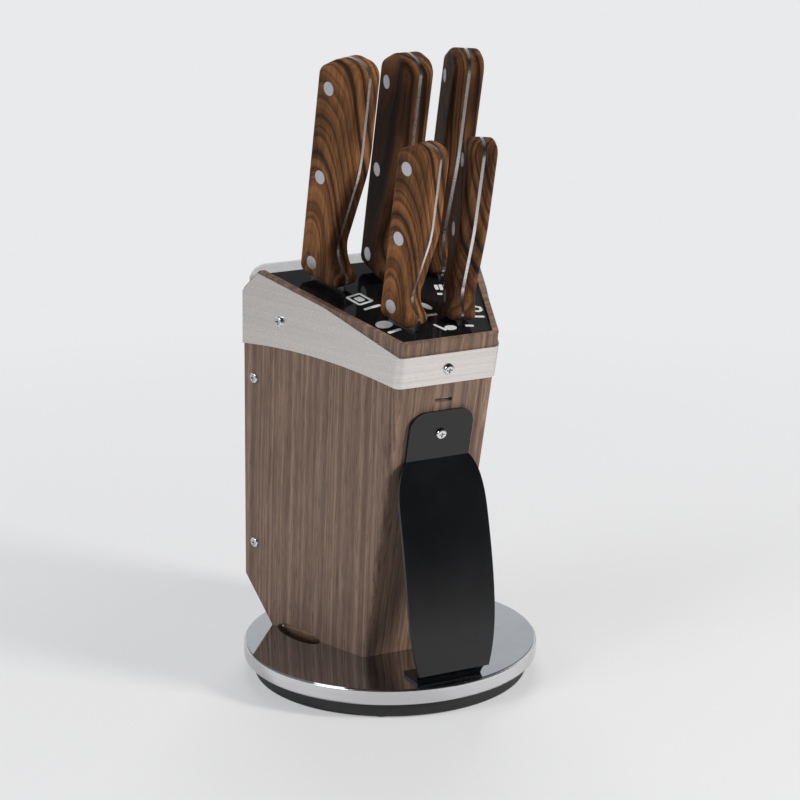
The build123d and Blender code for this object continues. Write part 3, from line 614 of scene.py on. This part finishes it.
# %% [markdown]
# ## Eased edges on the sheet metal
# No real sheet has knife-sharp edges: the brace is deburred and painted, and the band is polished
# along its rim, and both edges catch a thin line of light. A bevel modifier rounds every edge that
# turns sharply and leaves the gentle bends alone, which is quicker than picking the edges by hand.
# Weighted normals then keep the broad faces flat beside the small round ones.

# %% The brace and the band with eased edges
SHARP_TURN = radians(40)
GENTLE_BEND = radians(32)


def ease_edges(node, title, slot, width, steps):
    """Round the sharp edges of a piece by a small radius."""
    made = working_copy(node, title)
    bevel = made.modifiers.new("eased", "BEVEL")
    bevel.width = width
    bevel.segments = steps
    bevel.limit_method = "ANGLE"
    bevel.angle_limit = SHARP_TURN
    bevel.use_clamp_overlap = True
    bpy.ops.object.modifier_apply(modifier="eased")
    bpy.ops.object.shade_smooth_by_angle(angle=GENTLE_BEND)
    even = made.modifiers.new("even", "WEIGHTED_NORMAL")
    even.keep_sharp = True
    bpy.ops.object.modifier_apply(modifier="even")
    settle(made, "turntable", slot, node)


ease_edges("brace", "brace_eased", "brace_black", 0.5 * MM, 3)
ease_edges("band", "band_eased", "band_steel", 0.25 * MM, 2)

# %% [markdown]
# ## Ground blades
# In CAD a blade is a flat plate. A real one is ground: full thickness along the spine, thinning to
# almost nothing at the cutting edge. The copy is laid flat, sliced across every few millimetres so
# that the taper can follow the curve of the edge, and then the points of the cutting edge are pinched
# together. The slices keep each small face nearly flat, which one big twisted face would not be. The
# back, the edge and the tip are read from the copy, and only the end of the straight back is told.

# %% Where a blade thins
HEEL = -7.9 * MM  # the cutting edge begins below this height
FIRST_CUT = -4.2 * MM
SLICE = 8.0 * MM
EDGE_LEFT = 0.12  # share of the thickness that stays at the cutting edge
CLEAR = 0.2 * MM  # points this far past the middle line belong to the edge
NEARLY_FLAT = radians(12)
straight_backs = {
    "carver": 110.0 * MM, "chef": 100.0 * MM, "bread": 115.0 * MM,
    "utility": 75.0 * MM, "paring": 50.0 * MM,
}


def middle_line(height, spine, edge, straight, tip):
    """Halfway between spine and cutting edge; it runs to the tip once the spine curves."""
    level = (spine + edge) / 2
    if height > -straight:
        return level
    share = (height + straight) / (tip.z + straight)
    return level + (tip.x - level) * share


print("blades:", len(straight_backs), "slices of", SLICE, "edge left:", EDGE_LEFT)

# %% Grind the blades
def slice_across(lowest):
    """Cut the blade being worked on into short lengths, from its heel down."""
    bpy.ops.object.mode_set(mode="EDIT")
    cut = FIRST_CUT
    while cut > lowest + SLICE / 2:
        bpy.ops.mesh.select_all(action="SELECT")
        bpy.ops.mesh.bisect(plane_co=(0, 0, cut), plane_no=(0, 0, 1))
        cut -= SLICE
    bpy.ops.mesh.select_all(action="DESELECT")
    bpy.ops.object.mode_set(mode="OBJECT")


def grind(knife):
    """Thin a copy of the CAD blade towards its cutting edge."""
    blade = working_copy(f"{knife}_blade", f"{knife}_ground_blade")
    place = knife_place(knife)
    blade.data.transform(place.inverted())
    below = [point.co.copy() for point in blade.data.vertices if point.co.z < HEEL]
    tip = min(below, key=lambda point: point.z)
    spine, edge = min(point.x for point in below), max(point.x for point in below)
    slice_across(tip.z)
    for point in blade.data.vertices:
        x, height = point.co.x, point.co.z
        middle = middle_line(height, spine, edge, straight_backs[knife], tip)
        at_tip = abs(x - tip.x) + abs(height - tip.z) < 0.5 * MM
        point.select = at_tip or (height < HEEL and x > middle + CLEAR)
    pinched = sum(point.select for point in blade.data.vertices)
    bpy.ops.object.mode_set(mode="EDIT")
    bpy.ops.transform.resize(value=(1.0, EDGE_LEFT, 1.0), center_override=(0, 0, 0))
    bpy.ops.object.mode_set(mode="OBJECT")
    blade.data.transform(place)
    bpy.ops.object.shade_smooth_by_angle(angle=NEARLY_FLAT)
    print(knife, "tip at", round(tip.z, 4), "points pinched:", pinched)
    settle(blade, knife, "blade_steel", f"{knife}_blade")


for knife in straight_backs:
    grind(knife)

# %% [markdown]
# ## Marks printed on the insert
# Beside each slot the black insert carries a small white picture and a short bar, so that each knife
# finds its own place. A print is only a film of ink, but as real geometry a tenth of a millimetre
# thick it stays crisp from any distance. The pictures here are plain signs: a tray, a leaf, a sliced
# loaf, an egg, a ring, and a bowl with a stick. They are drawn lying flat at the origin and set down on
# the slope together.

# %% Helpers that draw one flat mark
INK = 0.12 * MM
marks_made = []


def keep_mark(turn, place):
    """Turn the mark just drawn, put it in its place on the flat, and remember it."""
    mark = bpy.context.object
    x, y = (part * MM for part in place)
    turned = Matrix.Rotation(turn, 4, "Z")
    mark.data.transform(Matrix.Translation((x, y / cos(TOP_SLOPE), 0)) @ turned @ mark.matrix_world)
    mark.matrix_world = Matrix.Identity(4)
    marks_made.append(mark)


def thicken():
    """Raise the flat shape that is being drawn to the thickness of the ink."""
    bpy.ops.object.mode_set(mode="EDIT")
    bpy.ops.mesh.select_all(action="SELECT")
    bpy.ops.mesh.extrude_region_move(TRANSFORM_OT_translate={"value": (0, 0, INK)})
    bpy.ops.mesh.select_all(action="SELECT")
    bpy.ops.mesh.normals_make_consistent(inside=False)
    bpy.ops.object.mode_set(mode="OBJECT")


def size_and_shift(width, depth, shift):
    """Give the unit shape that is being drawn its size, and move it off the centre."""
    size = Matrix.Diagonal((width * MM, depth * MM, 1.0, 1.0))
    bpy.context.object.data.transform(Matrix.Translation((shift[0] * MM, shift[1] * MM, 0)) @ size)


def draw_disc(width, depth, turn, place, shift=(0.0, 0.0), hole=0.0):
    """A filled ellipse, or a ring when it is given a hole as a share of its size."""
    bpy.ops.object.select_all(action="DESELECT")
    bpy.ops.mesh.primitive_circle_add(vertices=40, radius=0.5, fill_type="NGON")
    if hole:
        bpy.ops.object.mode_set(mode="EDIT")
        bpy.ops.mesh.inset(thickness=0.5 * (1 - hole))
        bpy.ops.mesh.delete(type="FACE")
        bpy.ops.object.mode_set(mode="OBJECT")
    size_and_shift(width, depth, shift)
    thicken()
    keep_mark(turn, place)


def draw_bar(width, depth, turn, place, shift=(0.0, 0.0), rounding=0.35, hole=0.0):
    """A bar with rounded corners, or a frame when it is given a rim width as a hole."""
    bpy.ops.object.select_all(action="DESELECT")
    bpy.ops.mesh.primitive_plane_add(size=1.0)
    size_and_shift(width, depth, shift)
    bpy.ops.object.mode_set(mode="EDIT")
    bpy.ops.mesh.select_all(action="SELECT")
    bpy.ops.mesh.bevel(offset=rounding * MM, segments=4, affect="VERTICES")
    if hole:
        bpy.ops.mesh.select_all(action="SELECT")
        bpy.ops.mesh.inset(thickness=hole * MM)
        bpy.ops.mesh.delete(type="FACE")
    bpy.ops.object.mode_set(mode="OBJECT")
    thicken()
    keep_mark(turn, place)


print("mark helpers ready")

# %% Draw the pictures
tray, leaf, loaf = (-24.6, -16.9), (3.4, -33.2), (25.0, -15.2)
egg, ring, bowl, stick = (-25.0, -46.4), (30.2, -42.3), (7.0, -58.2), (1.8, -56.4)
draw_bar(10.4, 11.4, FAN, tray, rounding=1.4, hole=1.5)
draw_bar(4.4, 4.8, FAN, tray, rounding=0.9)
for side in (-1, 1):
    draw_disc(4.0, 9.2, side * radians(18), leaf, shift=(side * 2.4, 0.0))
for step in (-1.5, -0.5, 0.5, 1.5):
    draw_bar(1.9, 7.2 - 0.9 * abs(step), -FAN, loaf, shift=(2.5 * step, 0.0), rounding=0.8)
draw_disc(9.6, 7.8, FAN, egg)
draw_disc(7.0, 7.0, -FAN, ring, hole=0.5)
draw_disc(6.6, 5.2, 0.0, bowl)
draw_bar(1.7, 8.6, radians(24), stick, rounding=0.8)
print("marks for pictures:", len(marks_made))

# %% [markdown]
# A bar marks each slot and lies square to it, so it is turned as its knife is. All marks are then
# joined into one piece, tilted to the insert's slope and laid on its face.

# %% Draw the bars and lay the prints down
BAR_DEPTH = 2.0
LIFT = 0.01 * MM
bars = [
    (FAN, (-22.2, -27.0), 11.0), (0.0, (2.6, -42.6), 9.0), (-FAN, (22.6, -22.6), 9.0),
    (FAN, (-22.9, -54.2), 8.4), (-FAN, (27.4, -50.6), 6.4), (-FAN, (17.6, -58.6), 4.4),
]
for turn, place, width in bars:
    draw_bar(width, BAR_DEPTH, turn, place)
alone(marks_made[0])
for mark in marks_made:
    mark.select_set(True)
bpy.ops.object.join()
prints = bpy.context.object
prints.name = prints.data.name = "insert_prints"
slope = Matrix.Rotation(TOP_SLOPE, 4, "X")
prints.data.transform(Matrix.Translation((0, 0, insert_height(0.0) + LIFT)) @ slope)
prints.data.materials.clear()
prints.data.materials.append(finishes["print_white"])
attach(prints, "insert")
print("prints:", len(marks_made), "marks, box", [round(size, 4) for size in prints.dimensions])

# %% [markdown]
# ## The studio
# The block stands on a wide pale floor that runs out to the horizon. In a studio a pale sheet sweeps
# up behind the object and is lit so evenly that it has no edge. Here the lamps light the floor close
# to the block, where it has to catch the shadow, and farther out the camera sees it glow with an
# even pale grey. For every ray but the camera's, the floor's colour falls off with distance, mostly in
# front of the block: a painted shade, as in a room whose lamps reach only its middle, so that the
# black and steel parts mirror a dark floor.

# %% Floor
FLOOR_SIZE = 9.0
PALE_A, PALE_B = (0.80, 0.80, 0.81, 1.0), (0.83, 0.83, 0.835, 1.0)
# The dark floor colour is painted shade, seen by every ray but the camera's away from the block.
PAINTED_FLOOR_SHADE = (0.18, 0.18, 0.18, 1.0)
SWEEP = (0.815, 0.82, 0.83, 1.0)
LIT_NEAR, LIT_FAR, LIT_MOST = 0.16, 0.75, 0.55
DARK_NEAR, DARK_FAR = 0.26, 0.60
bpy.ops.object.select_all(action="DESELECT")
bpy.ops.mesh.primitive_circle_add(vertices=96, radius=FLOOR_SIZE, fill_type="NGON", location=(0, 0, 0))
floor = bpy.context.object
floor.name = "studio_floor"
floor_finish, tree, place, shader = start_finish("studio_floor", Roughness=0.75)
pale = between(tree, grain_noise(tree, place, (1.0, 1.0, 1.0), 3.0, 2.0, 0.5), PALE_A, PALE_B)
eye = tree.nodes.new("ShaderNodeLightPath").outputs["Is Camera Ray"]
reach = vectors(tree, "LENGTH", place)
forward = put(tree, "ShaderNodeSeparateXYZ", {0: place}).outputs["Y"]
in_front = ramp(tree, forward, -0.35, -0.05, 1.0, 0.4)
unlit = sums(tree, "MULTIPLY", in_front, ramp(tree, reach, DARK_NEAR, DARK_FAR))
unlit = sums(tree, "MULTIPLY", unlit, sums(tree, "SUBTRACT", 1.0, eye))
tree.links.new(between(tree, unlit, pale, PAINTED_FLOOR_SHADE), shader.inputs["Base Color"])
lit_share = ramp(tree, reach, LIT_NEAR, LIT_FAR, LIT_MOST, 0.0)
glow_share = sums(tree, "MULTIPLY", sums(tree, "SUBTRACT", 1.0, lit_share), eye)
glow = put(tree, "ShaderNodeEmission", {"Color": SWEEP, "Strength": 1.0})
blend = put(tree, "ShaderNodeMixShader", {0: glow_share, 1: shader.outputs[0], 2: glow.outputs[0]})
leave = next(node for node in tree.nodes if node.type == "OUTPUT_MATERIAL")
tree.links.new(blend.outputs[0], leave.inputs["Surface"])
floor.data.materials.append(floor_finish)
print("floor:", floor.dimensions[:])

# %% [markdown]
# ### The world
# The world fills everything beyond the floor. Straight on, and through the clear back, it is the same
# pale grey as the floor. It lights the object only weakly, so that the lamps draw its shape. Mirrors
# see it bright behind the block, up to the height where the plate and the rim look, and almost black
# on the camera's side, because that is where a real room is dark.

# %% World
SEEN, AMBIENT = 0.82, 0.2
DARK_SIDE, BRIGHT_SIDE, OVERHEAD = 0.04, 0.8, 0.22
world = bpy.data.worlds.new("studio")
bpy.context.scene.world = world
world.use_nodes = True
sky = world.node_tree
sky.nodes.clear()
rays = sky.nodes.new("ShaderNodeLightPath").outputs
seen = sums(sky, "MAXIMUM", rays["Is Camera Ray"], rays["Is Transmission Ray"])
toward = sky.nodes.new("ShaderNodeTexCoord").outputs["Generated"]
axis = put(sky, "ShaderNodeSeparateXYZ", {0: toward}).outputs
behind = ramp(sky, axis["Y"], -0.4, 0.2, DARK_SIDE, BRIGHT_SIDE)
mirrored = sums(sky, "MULTIPLY", ramp(sky, axis["Z"], 0.34, 0.55, 1.0, OVERHEAD), behind)
level = ramp(sky, rays["Is Glossy Ray"], 0.0, 1.0, AMBIENT, mirrored)
level = ramp(sky, seen, 0.0, 1.0, level, SEEN)
shine = put(sky, "ShaderNodeBackground", {"Color": (0.96, 0.98, 1.0, 1.0), "Strength": level})
end = sky.nodes.new("ShaderNodeOutputWorld")
sky.links.new(shine.outputs[0], end.inputs["Surface"])
print("world ready")

# %% [markdown]
# ### The lamps
# One lamp in front and to the right is the main light: it brightens the front face and throws the
# brace's shadow to the left. A broad weak one fills the left side, and one from behind draws the
# handles' edges. The first and the last are left out of mirror images, where their outlines would
# show as hard white squares.

# %% Lamps
MIDDLE = Vector((0.0, -0.02, 0.17))


def soft_lamp(title, place, size, power, tint, mirrored=False):
    """A square area lamp that looks at the middle of the block, and may show in mirror images."""
    light = bpy.data.lights.new(title, "AREA")
    light.shape = "SQUARE"
    light.size = size
    light.energy = power
    light.color = tint
    holder = bpy.data.objects.new(title, light)
    bpy.context.scene.collection.objects.link(holder)
    holder.location = place
    holder.rotation_euler = (MIDDLE - Vector(place)).to_track_quat("-Z", "Y").to_euler()
    holder.visible_glossy = mirrored


soft_lamp("key_lamp", (1.05, -1.30, 0.85), size=0.3, power=28.0, tint=(1.0, 0.985, 0.96))
soft_lamp("fill_lamp", (-1.6, -0.45, 1.0), size=0.8, power=14.0, tint=(0.97, 0.985, 1.0), mirrored=True)
soft_lamp("rim_lamp", (0.5, 1.1, 1.5), size=0.9, power=12.0, tint=(1.0, 1.0, 1.0))
print("lamps:", len(bpy.data.lights))

# %% [markdown]
# ## The camera
# It stands to the left of the block's front, above the handles, and looks down at it with a long
# lens, so that upright edges stay nearly parallel. A small shift centres the block in the frame.

# %% Camera
STANDPOINT = (-0.595, -1.218, 0.544)
HEADING = radians(27.23)
DIP = radians(17.56)
LENS = 119.0
SHIFT = (-0.052, 0.083)
camera_data = bpy.data.cameras.new("view_from_left")
camera = bpy.data.objects.new("view_from_left", camera_data)
bpy.context.scene.collection.objects.link(camera)
camera.location = STANDPOINT
sight = Vector((sin(HEADING) * cos(DIP), cos(HEADING) * cos(DIP), -sin(DIP)))
camera.rotation_euler = sight.to_track_quat("-Z", "Y").to_euler()
camera_data.lens = LENS
camera_data.shift_x, camera_data.shift_y = SHIFT
bpy.context.scene.camera = camera
bpy.context.scene.view_settings.view_transform = "Standard"
print("camera:", STANDPOINT, "lens", LENS)
